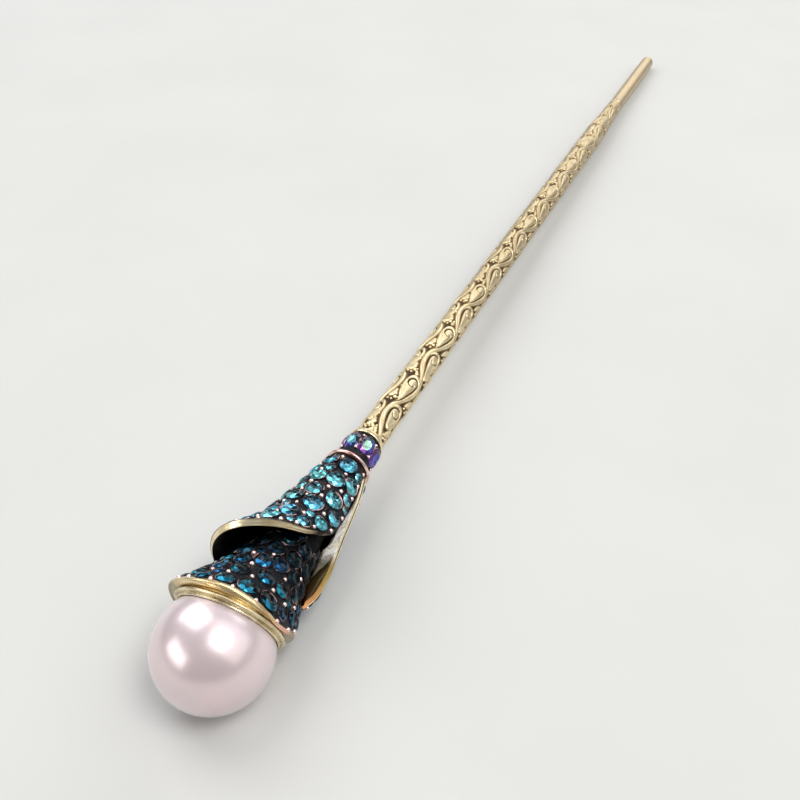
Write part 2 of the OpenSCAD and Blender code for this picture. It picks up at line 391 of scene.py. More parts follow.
def liningGold():
    # inside of the outer petal: a painted highlight of crumpled metal at the free side, near-black
    # painted shade in the depth
    paint = Paint("liningGold")
    marks = ("bright", "margin", "inward", "redder", "corner", "edge", "crease")
    bright, margin, inward, redder, corner, edge, crease = (paint.mark(name) for name in marks)
    cloud = paint.noise(500, 4, 0.6)
    fine = paint.noise(2600, 3, 0.6)
    ripple = paint.noise(1500, 3, 0.55, stretch=(1.0, 0.3, 1.0))
    crumple = paint.noise(1150, 5, 0.7, stretch=(1.0, 0.5, 1.0))
    # thin lines between the dents, painted shade in the painted highlight
    folds = crumple.between(0.46, 0.495) * (1 - crumple.between(0.51, 0.54))
    gold = paint.mix(cloud.between(0.4, 0.7), (0.92, 0.80, 0.54), (0.78, 0.62, 0.34))
    # painted highlight where the mesh is marked bright, painted shade where it is not
    paintedGlare = (bright + (cloud - 0.5) * 0.5 + (crumple - 0.5) * 1.1).between(0.38, 0.55)
    # painted shade: near black in the depth
    deep = paint.mix(cloud.between(0.45, 0.7), (0.008, 0.009, 0.008), (0.035, 0.028, 0.016))
    # painted highlight: near white
    pale = paint.mix(ripple.between(0.5, 0.75), (1.0, 0.985, 0.945), (0.98, 0.89, 0.72))
    pale = paint.mix(folds * 0.8, pale, (0.45, 0.33, 0.15))
    colour = paint.mix(paintedGlare, deep, pale)
    # where the margin is redder the painted highlight breaks into gold-brown glints and dark flecks
    speckle = paint.mix(fine.between(0.45, 0.6), (0.035, 0.022, 0.010), (0.62, 0.46, 0.22))
    colour = paint.mix(redder * paintedGlare, colour, speckle)
    # bronze margin, across: a bright edge, bronze, a dark fold in painted shade, a pale line that is a
    # painted highlight
    across = (inward + (ripple - 0.5) * 0.3) * 0.8
    olive = [
        (0.0, (0.85, 0.72, 0.42)), (0.07, (0.50, 0.35, 0.12)), (0.38, (0.42, 0.28, 0.09)),
        (0.43, (0.90, 0.76, 0.46)), (0.48, (0.34, 0.22, 0.07)), (0.62, (0.20, 0.13, 0.04)),
        (0.76, (0.06, 0.04, 0.014)), (0.81, (0.95, 0.86, 0.64)), (0.92, (0.88, 0.76, 0.50)),
    ]
    copper = [
        (0.0, (0.86, 0.66, 0.40)), (0.07, (0.62, 0.32, 0.13)), (0.38, (0.50, 0.23, 0.09)),
        (0.43, (0.88, 0.62, 0.36)), (0.48, (0.44, 0.18, 0.08)), (0.62, (0.30, 0.11, 0.05)),
        (0.76, (0.10, 0.035, 0.016)), (0.81, (0.92, 0.78, 0.55)), (0.92, (0.70, 0.50, 0.28)),
    ]
    bronze = paint.mix(redder, paint.ramp(across, olive), paint.ramp(across, copper))
    colour = paint.mix(margin * (1 - across.between(0.90, 1.02)), colour, bronze)
    colour = paint.mix(edge, colour, gold)
    # darker towards the lip's end at the seam
    darkerEnd = paint.mix(cloud.between(0.44, 0.60), (0.010, 0.007, 0.004), (0.26, 0.18, 0.08))
    colour = paint.mix((corner + (cloud - 0.5) * 0.8).between(0.25, 0.65), colour, darkerEnd)
    # painted shade: a dark line along the free edge
    colour = paint.mix((crease + (fine - 0.5) * 0.5).between(0.35, 0.7), colour, (0.014, 0.011, 0.008))
    bump = paint.bump(ripple + cloud * 0.5 + crumple, 0.40, 0.00010)
    # the painted highlight is almost without metal, so that its pale colour shows as painted
    metal = 0.85 - paintedGlare * (1 - edge) * (1 - margin) * 0.80
    rough = 0.30 + (cloud - 0.5) * 0.1
    return paint.finish(base_color=colour, metallic=metal, roughness=rough, normal=bump)


def facetGlass(name, metal, rough, coat):
    # foil-backed glass: each facet has its own tint, the foil's reflections painted into it bright and
    # dark, under one clear skin
    paint = Paint(name)
    tint = paint.mark("tint", out=0)
    cloud = paint.noise(2600, 2, 0.5)
    colour = paint.mix(cloud.between(0.35, 0.75) * 0.3, tint, (0.004, 0.03, 0.04))
    return paint.finish(base_color=colour, metallic=metal, roughness=rough + cloud * 0.1,
                        coat_weight=coat, coat_roughness=0.03, specular_ior_level=0.3)


def nacre():
    # soft cloudy nacre under a clear skin
    paint = Paint("nacre")
    cloud = paint.noise(95, 3, 0.55)
    bands = paint.noise(380, 3, 0.6)
    grain = paint.noise(3000, 3, 0.6)
    colour = paint.mix(cloud.between(0.35, 0.68), (0.735, 0.615, 0.64), (0.745, 0.60, 0.598))
    colour = paint.mix(bands.between(0.45, 0.75) * 0.3, colour, (0.66, 0.58, 0.69))
    rough = 0.30 + (grain - 0.5) * 0.04
    bump = paint.bump(bands, 0.03, 0.00005)
    return paint.finish(base_color=colour, metallic=0.45, roughness=rough, normal=bump,
                        coat_weight=1.0, coat_roughness=0.20)


castGoldSkin = castGold()
paleGoldSkin = plateGold("paleGold", (0.93, 0.81, 0.55), (0.80, 0.64, 0.36), 0.24, 0.92)
rimGoldSkin = plateGold("rimGold", (0.85, 0.70, 0.43), (0.66, 0.48, 0.25), 0.26, 0.92,
                        warm=(0.78, 0.46, 0.34), dim=(0.36, 0.31, 0.17))
cupGoldSkin = plateGold("cupGold", (0.80, 0.71, 0.49), (0.56, 0.46, 0.27), 0.27, 0.9)
roseGoldSkin = plateGold("roseGold", (0.90, 0.66, 0.60), (0.66, 0.38, 0.33), 0.24, 0.92)
beadSkin = plateGold("beadMetal", (0.95, 0.78, 0.74), (0.84, 0.58, 0.54), 0.2, 0.85, brush=0.05)
bezelSkin = bezelEdge("bezelEdge", 0.50, 0.64, (0.74, 0.49, 0.46))
darkBezelSkin = bezelEdge("darkBezelEdge", 0.53, 0.70, (0.50, 0.30, 0.29))
outerGroundSkin = darkGround("outerGround", (0.009, 0.012, 0.017))
innerGroundSkin = darkGround("innerGround", (0.005, 0.008, 0.011), shaded=True)
liningSkin = liningGold()
turquoiseSkin = facetGlass("turquoiseGlass", 0.80, 0.12, 0.36)
tealSkin = facetGlass("tealGlass", 0.86, 0.14, 0.16)
# a duller copy of the teal glass, for stones in painted shade
shadedGlassSkin = facetGlass("shadedGlass", 0.9, 0.2, 0.06)
auroraSkin = facetGlass("auroraGlass", 0.65, 0.14, 0.55)
nacreSkin = nacre()
print("finishes mixed")


innerPetal = {
    "topZ": 22.0,
    "topR": 1.9,
    "slope": 0.13,
    "flarePower": 3.6,
    "rimFrom": 0.985,  # share of the height where the paved cone ends and the rim starts
    "plated": 3,  # rows of the cone that are plated like the rim
    "warmed": 9,  # rows of the rim that show rose
    "around": 200,
    "along": 60,
}
# azimuth, height of the rim, its radius
innerRim = [
    (-98, 3.7, 7.20), (-63, 2.9, 7.35), (-28, 2.3, 7.15), (12, 2.7, 6.70), (40, 3.0, 6.35),
    (62, 3.2, 6.05), (83, 4.2, 5.85), (105, 5.5, 5.75), (142, 6.2, 5.80), (172, 6.0, 6.10),
    (202, 5.5, 6.45), (232, 4.7, 6.85), (262, 3.7, 7.20),
]
# the rolled rim, a rounded edge, a soft band, a fine groove and the seat: share of the way inwards,
# height in mm
rimBand = [
    (0.0, 0.0), (0.04, 0.05), (0.10, 0.085), (0.16, 0.06), (0.20, 0.035), (0.26, 0.06), (0.38, 0.11),
    (0.52, 0.13), (0.66, 0.11), (0.78, 0.06), (0.84, -0.02), (0.88, -0.06), (0.93, -0.03), (1.0, 0.0),
]
rimStart = innerRim[0][0]


def innerFlare(azimuth, z, k):
    # radius of the inner petal's outside, k of the way from its top to its rim
    q = innerPetal
    cone = q["topR"] + q["slope"] * (q["topZ"] - z)
    full = q["topR"] + q["slope"] * (q["topZ"] - smoothLookup(innerRim, 1, azimuth))
    return cone + (smoothLookup(innerRim, 2, azimuth) - full) * k ** q["flarePower"]


def innerRadius(azimuth, z):
    # the same radius at any azimuth and height
    q = innerPetal
    azimuth = (azimuth - rimStart) % 360 + rimStart
    k = np.clip((q["topZ"] - z) / (q["topZ"] - smoothLookup(innerRim, 1, azimuth)), 0, 1)
    return innerFlare(azimuth, z, k)


outerPetal = {
    "seamAzimuth": 84.0,
    "throatZ": 27.6,
    "throatR": 2.5,
    "slope": 0.13,
    "flarePower": 5.6,
    "freeMargin": 37.0,  # degrees over which the free side curls out
    "freePower": 1.5,
    "tuck": 0.30,  # the sheet hugs the inner petal before its free side flares, mm
    "tuckWide": 62.0,
    "throatWall": 0.42,
    "mouthWall": 0.75,
    "thinnest": 0.30,
    "clear": 0.06,  # room left to the inner petal, mm
    "clearStones": 0.37,  # and over its stones
    "border": 0.2,  # width of the gold border on the outside, mm
    "bulge": 0.45,  # roundness of the edge
    "around": 230,
    "along": 64,
}
# height, turn of the free edge, how far the free edge stands out
freeEdge = [
    (8.8, 337, 0.30), (9.4, 337, 0.58), (11.0, 335, 0.98), (14.0, 336, 1.12), (16.0, 338, 1.00),
    (18.0, 340, 0.84), (20.0, 342, 0.76), (22.4, 345, 0.70), (25.0, 349, 0.54), (27.6, 355, 0.20),
]
# height, width of the roll along the inside of the free edge, width of the bronze margin in it,
# depth of the roll, width of the painted highlight on the face
freeFace = [
    (8.8, 1.5, 2.3, 0.45, 1.5), (10.5, 1.6, 2.2, 0.50, 1.6), (11.9, 1.7, 1.9, 0.55, 1.7),
    (13.7, 1.7, 1.15, 0.66, 1.7), (15.4, 1.6, 0.40, 0.74, 1.65), (16.3, 1.45, 0.20, 0.76, 1.65),
    (17.1, 0.98, 0.13, 0.58, 1.6), (17.9, 0.72, 0.10, 0.44, 1.5), (19.5, 0.64, 0.08, 0.40, 1.25),
    (21.3, 0.46, 0.06, 0.28, 1.0), (23.2, 0.26, 0.05, 0.16, 0.8), (27.6, 0.22, 0.04, 0.1, 0.4),
]
# turn from the seam, height of the mouth's edge, its radius
outerMouth = [
    (0, 20.2, 3.65), (6, 18.4, 3.90), (12, 17.0, 4.10), (20, 16.3, 4.25), (37, 15.3, 4.45),
    (54, 14.2, 4.80), (83, 12.9, 5.55), (116, 11.2, 6.70), (147, 10.4, 7.15), (177, 10.2, 7.00),
    (207, 10.2, 6.50), (237, 10.2, 5.95), (267, 10.2, 5.45), (297, 10.0, 5.05), (320, 9.4, 4.75),
    (337, 8.8, 4.60),
]
lastTurn = freeEdge[0][1]


def outerPoint(v, k):
    # a point of the outside: v runs round from the seam to the free edge, k from throat to mouth
    o = outerPetal
    z = o["throatZ"] + (smoothLookup(outerMouth, 1, v * lastTurn) - o["throatZ"]) * k
    edgeTurn = smoothLookup(freeEdge, 1, z)
    turn = v * edgeTurn
    cone = o["throatR"] + o["slope"] * (o["throatZ"] - z)
    mouthCone = o["throatR"] + o["slope"] * (o["throatZ"] - smoothLookup(outerMouth, 1, turn))
    flare = (smoothLookup(outerMouth, 2, turn) - mouthCone) * k ** o["flarePower"]
    toEdge = edgeTurn - turn
    margin = np.clip(1 - toEdge / o["freeMargin"], 0, None)
    stands = smoothLookup(freeEdge, 2, z) * margin ** o["freePower"]
    hugging = np.sin(np.pi * np.clip(toEdge / o["tuckWide"], 0, 1)) * hump(11.0, 15.5, 21.0, 25.0, z)
    return around(o["seamAzimuth"] - turn, cone + flare + stands - o["tuck"] * hugging, z)


def outerWall(v, k):
    # thicker towards the mouth, rolled along the inside of the free edge, clear of the inner petal
    o = outerPetal
    point = outerPoint(v, k)
    r, z = np.hypot(point[..., 0], point[..., 1]), point[..., 2]
    azimuth = np.degrees(np.arctan2(point[..., 0], -point[..., 1]))
    thicker = (o["mouthWall"] - o["throatWall"]) * k**3
    plain = o["throatWall"] + thicker * (1 - 0.5 * rampTo(0.6, 0.85, v)) * rampTo(-0.08, 0.18, v)
    fromFree = (1 - v) * math.radians(lastTurn) * r
    wide = smoothLookup(freeFace, 1, z)
    roll = smoothLookup(freeFace, 3, z) * np.minimum(fromFree / wide, 1)
    full = plain + roll * (1 - rampTo(wide * 1.02, wide * 1.02 + 0.6, fromFree)) * rampTo(0.10, 0.35, k)
    stones = o["clearStones"] * (1 - rampTo(16.0, 17.2, z))
    room = r - innerRadius(azimuth, z) - o["clear"] - stones
    # a little less than the room, because the wall leans
    return np.minimum(full, np.maximum(room * 0.97, o["thinnest"]))


def outerNormals(v, k, step=0.003):
    # unit normals of the outside, away from the stick
    v0, v1 = np.clip(v - step, 0, 1), np.clip(v + step, 0, 1)
    k0, k1 = np.clip(k - step, 0, 1), np.clip(k + step, 0, 1)
    tangents = outerPoint(v1, k) - outerPoint(v0, k), outerPoint(v, k1) - outerPoint(v, k0)
    n = unit(np.cross(*tangents))
    seamSide = around(outerPetal["seamAzimuth"], 1.0, 0.0)
    return n if (n.reshape(-1, 3)[0] * seamSide).sum() > 0 else -n


def edgeDistance(spots, rim):
    # how far each spot is from the nearest point of the rim
    return np.min([np.sqrt(((spots - r) ** 2).sum(1)) for r in rim], axis=0)


def edgeLoop(rows, cols):
    # rows and columns of the points once round the edge of a grid
    loop = [(0, i) for i in range(cols)] + [(j, cols - 1) for j in range(1, rows)]
    loop += [(rows - 1, i) for i in range(cols - 2, -1, -1)] + [(j, 0) for j in range(rows - 2, 0, -1)]
    return np.array(loop).T


def shell(outside, normals, wall, bulge, steps=5):
    # closes a grid of outside points into a sheet with a rounded edge all round
    rows, cols = outside.shape[:2]
    inside = outside - normals * wall[..., None]
    jj, ii = edgeLoop(rows, cols)
    down, across = np.gradient(outside, axis=0), np.gradient(outside, axis=1)
    outwards = np.zeros((len(jj), 3))
    sides = ((jj == 0, -down), (jj == rows - 1, down), (ii == 0, -across), (ii == cols - 1, across))
    for mask, direction in sides:
        outwards[mask] += unit(direction[jj[mask], ii[mask]])
    outwards = unit(outwards)
    half = wall[jj, ii][:, None] / 2
    middle = (outside[jj, ii] + inside[jj, ii]) / 2 - outwards * half * bulge
    points = [outside.reshape(-1, 3), inside.reshape(-1, 3)]
    faces = gridFaces(rows, cols) + gridFaces(rows, cols, start=rows * cols, flip=True)
    loops = [jj * cols + ii]
    count = 2 * rows * cols
    for s in range(1, steps):
        angle = math.pi * s / steps
        turned = normals[jj, ii] * math.cos(angle) + outwards * math.sin(angle) * bulge
        points.append(middle + half * turned)
        loops.append(np.arange(count, count + len(jj)))
        count += len(jj)
    loops.append(rows * cols + jj * cols + ii)
    for a, b in zip(loops, loops[1:]):
        for i in range(len(jj)):
            n = (i + 1) % len(jj)
            faces.append((a[n], a[i], b[i], b[n]))
    return np.concatenate(points), faces


def rollOuterPetal():
    # the sheet, with what its finish has to know about each point
    o = outerPetal
    vGrid, kGrid = np.meshgrid(np.linspace(0, 1, o["around"]), crowded(o["along"]))
    outside = outerPoint(vGrid, kGrid)
    points, faces = shell(outside, outerNormals(vGrid, kGrid), outerWall(vGrid, kGrid), o["bulge"])
    jj, ii = edgeLoop(o["along"], o["around"])
    # which loop of the rounded edge a point is on, from the outside in; below 0 on the two faces
    loopOf = (np.arange(len(points)) - 2 * vGrid.size) // len(jj)
    onEdge = loopOf >= 0

    def onSheet(grid):
        # a grid's values on the outside, the inside and the rounded edge
        return np.r_[grid.ravel(), grid.ravel(), np.tile(grid[jj, ii], loopOf[-1] + 1)]

    # where the inside is painted as a highlight and where as shade, and where the bronze margin of the
    # free edge lies
    v, z = onSheet(vGrid), points[:, 2]
    fromFree = (1 - v) * math.radians(lastTurn) * onSheet(np.hypot(outside[..., 0], outside[..., 1]))
    paintedGlareWide, bronzeWide = (smoothLookup(freeFace, column, z) for column in (4, 2))
    margin = 1 - rampTo(14.8, 16.8, z)
    freeSide = rampTo(0.97, 0.99, v)
    edgeShare = np.array([0.0, 0.16, 0.3, 0.4])[np.maximum(loopOf, 0)]
    marks = {
        # 1 where the inside carries the painted highlight, 0 where it carries painted shade
        "bright": 1 - rampTo(paintedGlareWide * 0.80, paintedGlareWide * 1.10, fromFree),
        "crease": (loopOf == 1) * freeSide * rampTo(12.0, 17.0, z),  # painted shade: a dark line along the free edge
        "margin": margin * (v > 0.6),
        "inward": np.where(onEdge, edgeShare, 0.4 + 0.6 * fromFree / bronzeWide),
        "redder": (1 - rampTo(9.8, 13.5, z)) * (v > 0.6),
        "corner": (1 - rampTo(0.04, 0.21, v)) * onEdge,  # the lip darker towards its end at the seam
        "edge": onEdge * (1 - freeSide * margin),
    }
    # the outside keeps a slim gold border, the rest of it is dark ground
    cells = ((outside[:-1, :-1] + outside[1:, 1:]) / 2).reshape(-1, 3)
    border = np.concatenate([outside[-1], outside[:, 0], outside[:, -1]])
    worn = np.ones(len(faces))
    worn[: len(cells)] = edgeDistance(cells, border) < o["border"]
    return makePiece("outer_petal_sheet", layDown(points), faces, [outerGroundSkin, liningSkin],
                     marks=marks, worn=worn)


outerPiece = rollOuterPetal()
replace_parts(outerPiece, "outer_petal")
print("outer petal rolled")


cup = {
    "lean": 16.3,  # degrees between its axis and the stick's
    "leanAzimuth": -8.0,
    "seatR": 6.4,  # the inner petal's seat for the bowl
    "seatAngle": 54.0,
    "bowlR": 6.35,
    "lipAngle": 61.6,
    "lipR": 6.05,
    "cols": 140,
}


def leanWithCup(p):
    # turns points about the pearl's centre, from the stick's axis to the cup's
    lean, turn = math.radians(cup["lean"]), math.radians(cup["leanAzimuth"])
    x, y, z = p[..., 0], p[..., 1], p[..., 2]
    y, z = y * math.cos(lean) - z * math.sin(lean), y * math.sin(lean) + z * math.cos(lean)
    x, y = x * math.cos(turn) - y * math.sin(turn), x * math.sin(turn) + y * math.cos(turn)
    return np.stack([x, y, z], -1)


def aboveTable(p):
    # flattened where it would reach past the surface that the stick lies on
    low = (stick["pearlR"] - p[..., 2] * sinDip) / cosDip
    return np.stack([p[..., 0], np.minimum(p[..., 1], low), p[..., 2]], -1)


def innerPoint(u, k):
    # a point of the outside: u runs once round, k from the top to the rim
    azimuth = rimStart + 360 * np.asarray(u)
    z = innerPetal["topZ"] + (smoothLookup(innerRim, 1, azimuth) - innerPetal["topZ"]) * k
    return aboveTable(around(azimuth, innerFlare(azimuth, z, k), z))


def flareInnerPetal():
    # rings down the paved cone, over the rolled rim, through the seat and up the bore
    q = innerPetal
    us = np.arange(q["around"]) / q["around"]
    azimuths = rimStart + 360 * us
    rings = [innerPoint(us, k * q["rimFrom"]) for k in crowded(q["along"])]
    seat, seatR, boreR = math.radians(cup["seatAngle"]), cup["seatR"], stick["boreR"]
    seatEdge = leanWithCup(around(azimuths - cup["leanAzimuth"], math.sin(seat), math.cos(seat)))
    rimEdge = innerPoint(us, 1.0)
    inwards = seatEdge * seatR - rimEdge
    lift = unit(np.cross(inwards, np.roll(rimEdge, -1, 0) - np.roll(rimEdge, 1, 0)))
    if lift[:, 2].mean() > 0:  # towards the pearl
        lift = -lift
    for share, rise in rimBand:
        rings.append(aboveTable(rimEdge + inwards * share + lift * rise))
    boreEdge = around(azimuths, boreR, math.sqrt(seatR**2 - boreR**2)) / seatR
    for s in (0.25, 0.5, 0.75, 1.0):
        rings.append(seatR * unit(seatEdge * (1 - s) + boreEdge * s))
    rings.append(around(azimuths, boreR, q["topZ"]))
    faces = gridFaces(len(rings), len(us), closed=True, looped=True, flip=True)
    plated = [q["along"] - q["plated"] <= j < len(rings) - 1 for j in range(len(rings))]
    points = np.concatenate(rings)
    azimuth = np.tile((azimuths + 180) % 360 - 180, len(rings))
    ringOf = np.repeat(np.arange(len(rings)), len(us))
    # painted shade on the rim's lower side and on its right end, which turns away from the lamps
    far = (1 - rampTo(-75, -35, azimuth)) + rampTo(150, 175, azimuth)
    marks = {
        "warm": hump(35, 85, 120, 160, azimuth) * (ringOf < q["along"] + q["warmed"]),
        # painted shade deep in the mouth, under the outer petal
        "soot": rampTo(9.0, 11.0, points[:, 2]),
        "dim": far + 0.8 * hump(70, 95, 125, 150, azimuth),
    }
    skin = 5e-6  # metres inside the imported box
    laid = np.clip(layDown(points), np.array(cadBox[0]) + skin, np.array(cadBox[1]) - skin)
    return makePiece("inner_petal_cone", laid, faces, [innerGroundSkin, rimGoldSkin],
                     worn=np.repeat(plated, len(us)), marks=marks)


innerPiece = flareInnerPetal()
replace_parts(innerPiece, "inner_petal")
print("inner petal flared")


farOff = 99.0  # mm, more than any room between stones
# heights and radii in shares of the stone's radius; the foil's star is sunk in its table
cut = {
    "sides": 8,
    "low": -0.30,
    "mid": 0.16,
    "midR": 0.82,
    "table": 0.27,
    "tableR": 0.62,
    "star": 0.19,
    "starR": 0.38,
    "heart": 0.13,
    "rise": 0.06,  # of the girdle above the petal, mm
}


def brilliant(radius, tableR=cut["tableR"]):
    # points and faces of a round stone about the origin, girdle at z = 0
    n = cut["sides"]

    def ring(count, r, z, turn=0.0):
        angles = 2 * np.pi * (np.arange(count) + turn) / count
        return np.c_[r * np.cos(angles), r * np.sin(angles), np.full(count, z)] * radius

    points = np.concatenate([
        ring(n, tableR, cut["table"]), ring(n, cut["midR"], cut["mid"], 0.5),
        ring(2 * n, 1.0, 0.0), ring(2 * n, 0.97, cut["low"]),
        ring(n, cut["starR"], cut["star"], 0.5), ring(1, 0.0, cut["heart"]),
    ])
    t, m, g, low, s, c = 0, n, 2 * n, 4 * n, 6 * n, 7 * n
    faces = []
    for i in range(n):
        j, before = (i + 1) % n, (i - 1) % n
        faces += [
            (t + i, t + j, s + i), (t + i, s + i, s + before), (c, s + i, s + j),
            (t + i, m + i, t + j), (t + i, m + before, g + 2 * i, m + i),
            (m + i, g + 2 * i, g + 2 * i + 1), (m + i, g + 2 * i + 1, g + (2 * i + 2) % (2 * n)),
        ]
    for i in range(2 * n):
        j = (i + 1) % (2 * n)
        faces.append((g + i, low + i, low + j, g + j))
    faces.append(tuple(range(low + 2 * n - 1, low - 1, -1)))
    return points, faces


def frames(normals):
    # two directions across each normal: the first towards the pearl along the surface
    helper = np.tile([0.0, 0.0, -1.0], (len(normals), 1))
    x = unit(helper - normals * (helper * normals).sum(-1, keepdims=True))
    return x, np.cross(normals, x)


def pave(spots, normals, edge, fixed, petal):
    # fills a surface with rounds: those read off the photo first, then the largest that fit, each
    # close to its neighbours
    draw = np.random.default_rng(petal["seeds"][0])
    places, radii = [], []
    clear = np.full(len(spots), farOff)  # room to the nearest stone, and to the second
    second = clear.copy()

    def put(i, r):
        nonlocal clear, second
        d = np.sqrt(((spots - spots[i]) ** 2).sum(1)) - r
        second = np.minimum(np.maximum(clear, d), second)
        clear = np.minimum(clear, d)
        places.append(i)
        radii.append(r)

    for i, r in fixed:
        put(i, r)
    jitter = draw.random(len(spots)) * 0.05
    for r in petal["radii"]:
        # with its bezel round it, and as high as its table
        inBox = fitsBox(spots, normals, r + 0.06, cut["table"] * r + 0.05)
        allowed = (edge >= r + petal["margin"]) & inBox
        while True:
            free = (clear >= r + petal["gap"]) & allowed
            if not free.any():
                break
            score = np.where(free, clear + 0.6 * second + jitter, np.inf)
            put(int(np.argmin(score)), r)
    return np.array(places), np.array(radii), clear


def beadsBetween(spots, normals, clear, edge, bead):
    # beads of metal where three stones leave room; each presses a little into the bezels round it
    found, radii = [], []
    room = np.where((edge > bead["edge"]) & fitsBox(spots, normals, 0.2, 0.3), clear, -1.0)
    while True:
        i = int(np.argmax(room))
        if room[i] < bead["least"]:
            break
        uneven = math.sin(i * 12.9898) * 43758.5 % 1  # each bead a little larger or smaller
        found.append(i)
        radii.append(min(room[i] + 0.04, bead["most"] * (0.85 + 0.3 * uneven)))
        d = np.sqrt(((spots - spots[i]) ** 2).sum(1))
        room = np.where(d < bead["apart"], -1.0, room)
    return np.array(found), np.array(radii)


def stonePiece(name, stones, materials):
    # stones of one piece, each with its points and faces, place, axes, colours and material's number
    points, faces, colours, worn = [], [], [], []
    count = 0
    for (shape, cutFaces), at, axes, tints, number in stones:
        points.append(at + shape @ np.array(axes))
        faces += [tuple(count + f for f in face) for face in cutFaces]
        colours += tints
        worn += [number] * len(cutFaces)
        count += len(shape)
    return makePiece(name, layDown(np.concatenate(points)), faces, materials, smooth=False,
                     worn=worn, colours=np.clip(colours, 0, 1))


def setStones(name, at, normals, radii, bright, dark, lit, materials, seed, worn):
    # every stone turned its own way; its facets carry painted reflections of the foil, brighter on the
    # side towards the pearl
    draw = np.random.default_rng(seed)
    stones = []
    x, y = frames(normals)
    for i in range(len(at)):
        shape, cutFaces = brilliant(radii[i])
        spin = draw.random() * 2 * math.pi
        tilt = draw.normal(0, 0.06, 2)  # none sits quite straight
        n = unit(normals[i] + x[i] * tilt[0] + y[i] * tilt[1])
        xs = unit(x[i] - n * (x[i] @ n))
        xr = xs * math.cos(spin) + np.cross(n, xs) * math.sin(spin)
        bias = draw.normal(0, 0.5)
        reach = draw.uniform(-0.25, 0.25)
        tints = []
        for face in cutFaces:
            middle = shape[list(face)].mean(0) / radii[i]
            outwards = min(1, math.hypot(middle[0], middle[1]) * 1.6)
            toPearl = math.cos(math.atan2(middle[1], middle[0]) + spin - bias) * outwards
            # painted highlight: the facet's share of bright foil, more towards the pearl
            share = rampTo(0.25, 0.75, lit + 0.55 * toPearl + reach + draw.normal(0, 0.26))
            if middle[2] < 0:
                share = 0
            tints.append(dark[i] * (1 - share) + bright[i] * share * draw.uniform(0.6, 1.1))
        axes = (xr, np.cross(n, xr), n)
        stones.append(((shape, cutFaces), at[i] + n * cut["rise"], axes, tints, worn[i]))
    return stonePiece(name, stones, materials)


def setRounds(name, at, normals, profiles, cols, materials, hollow=False, worn=None, stretch=1.0):
    # a small turned shape at each place, from its own (r, height); hollow ones close on themselves,
    # stretch makes them oval along the stick
    x, y = frames(normals)
    turn = np.linspace(0, 2 * math.pi, cols, endpoint=False)
    points, faces = [], []
    for i, profile in enumerate(profiles):
        rows, start = len(profile), len(points) * cols
        ring = np.outer(np.cos(turn), x[i]) * stretch + np.outer(np.sin(turn), y[i])
        points += [at[i] + r * ring + height * normals[i] for r, height in profile]
        faces += gridFaces(rows, cols, closed=True, looped=hollow, start=start)
        faces += [] if hollow else capFaces(rows, cols, start)
    return makePiece(name, layDown(np.concatenate(points)), faces, materials, worn=worn)


# radius and height in shares of the bead's radius, from the foot to the top
beadProfile = [(0.80, -0.6), (1.0, -0.1), (1.0, 0.12), (0.90, 0.46), (0.66, 0.76), (0.30, 0.95)]


def setBeads(name, at, normals, radii, cols=10):
    profiles = [[(r * size, height * size) for r, height in beadProfile] for size in radii]
    return setRounds(name, at, normals, profiles, cols, [beadSkin])


# distance from the stone's girdle and height, mm
bezelProfile = [
    (0.11, -0.32), (0.095, 0.0), (0.075, 0.045), (0.025, 0.05), (-0.02, -0.02), (-0.03, -0.32),
]


def setBezels(name, at, normals, radii, rise, materials, cols=18, stretch=1.0):
    # a thin wall close round each stone: dark outside, rubbed on its edge
    profiles = [[(size + step, height + rise) for step, height in bezelProfile] for size in radii]
    worn = ([0] * cols + [1] * (cols * (len(bezelProfile) - 2)) + [0] * cols) * len(at)
    return setRounds(name, at, normals, profiles, cols, materials, hollow=True, worn=worn,
                     stretch=stretch)


def readStones(spots, edge, table):
    # stones at the places read off the photo, kept off the edge and over 0.9 mm across
    fixed = []
    for azimuth, z, d in table:
        target = around(azimuth, np.hypot(spots[:, 0], spots[:, 1]), z)
        i = int(np.argmin(((spots - target) ** 2).sum(1)))
        fixed.append((i, max(min(d / 2, edge[i] - 0.08), 0.45)))
    return fixed


def shades(count, choices, seed):
    # one row of bright and dark colours for each stone
    draw = np.random.default_rng(seed)
    share = draw.random(count)[:, None]
    (brightA, darkA), (brightB, darkB) = (np.array(choice) for choice in choices)
    return brightA * (1 - share) + brightB * share, darkA * (1 - share) + darkB * share


turquoisePaving = {
    # stones that the front shows: azimuth, height, diameter
    "read": [
        (23.5, 26.1, 2.25), (-26, 26.3, 2.0), (21.4, 23.2, 2.3), (59.3, 24.0, 2.1), (-17.1, 22.9, 2.0),
        (-1.2, 20.4, 2.05), (41.2, 20.4, 2.2), (74.5, 20.9, 1.5), (-48, 22.3, 1.8), (15.3, 18.2, 2.3),
        (59.5, 18.5, 2.0), (-22.6, 18.6, 2.0), (43.3, 16.35, 1.75), (-2.6, 15.6, 2.2), (22.3, 15.0, 1.7),
        (-31.4, 15.5, 2.1),
    ],
    "radii": (1.05, 0.95, 0.85, 0.74, 0.62, 0.5),
    "gap": 0.11,
    "margin": 0.26,
    "seeds": (11, 5, 21),
    "colours": (
        ((0.20, 0.77, 0.79), (0.001, 0.020, 0.026)), ((0.10, 0.48, 0.73), (0.002, 0.015, 0.034)),
    ),
    "lit": 0.33,
    "glass": [turquoiseSkin],
    "metal": [outerGroundSkin, bezelSkin],
    "bezelRise": 0.04,
    "shade": lambda azimuth, z: 0 * z,
    "beads": {"edge": 0.42, "least": 0.17, "most": 0.25, "apart": 1.55, "below": farOff},
}
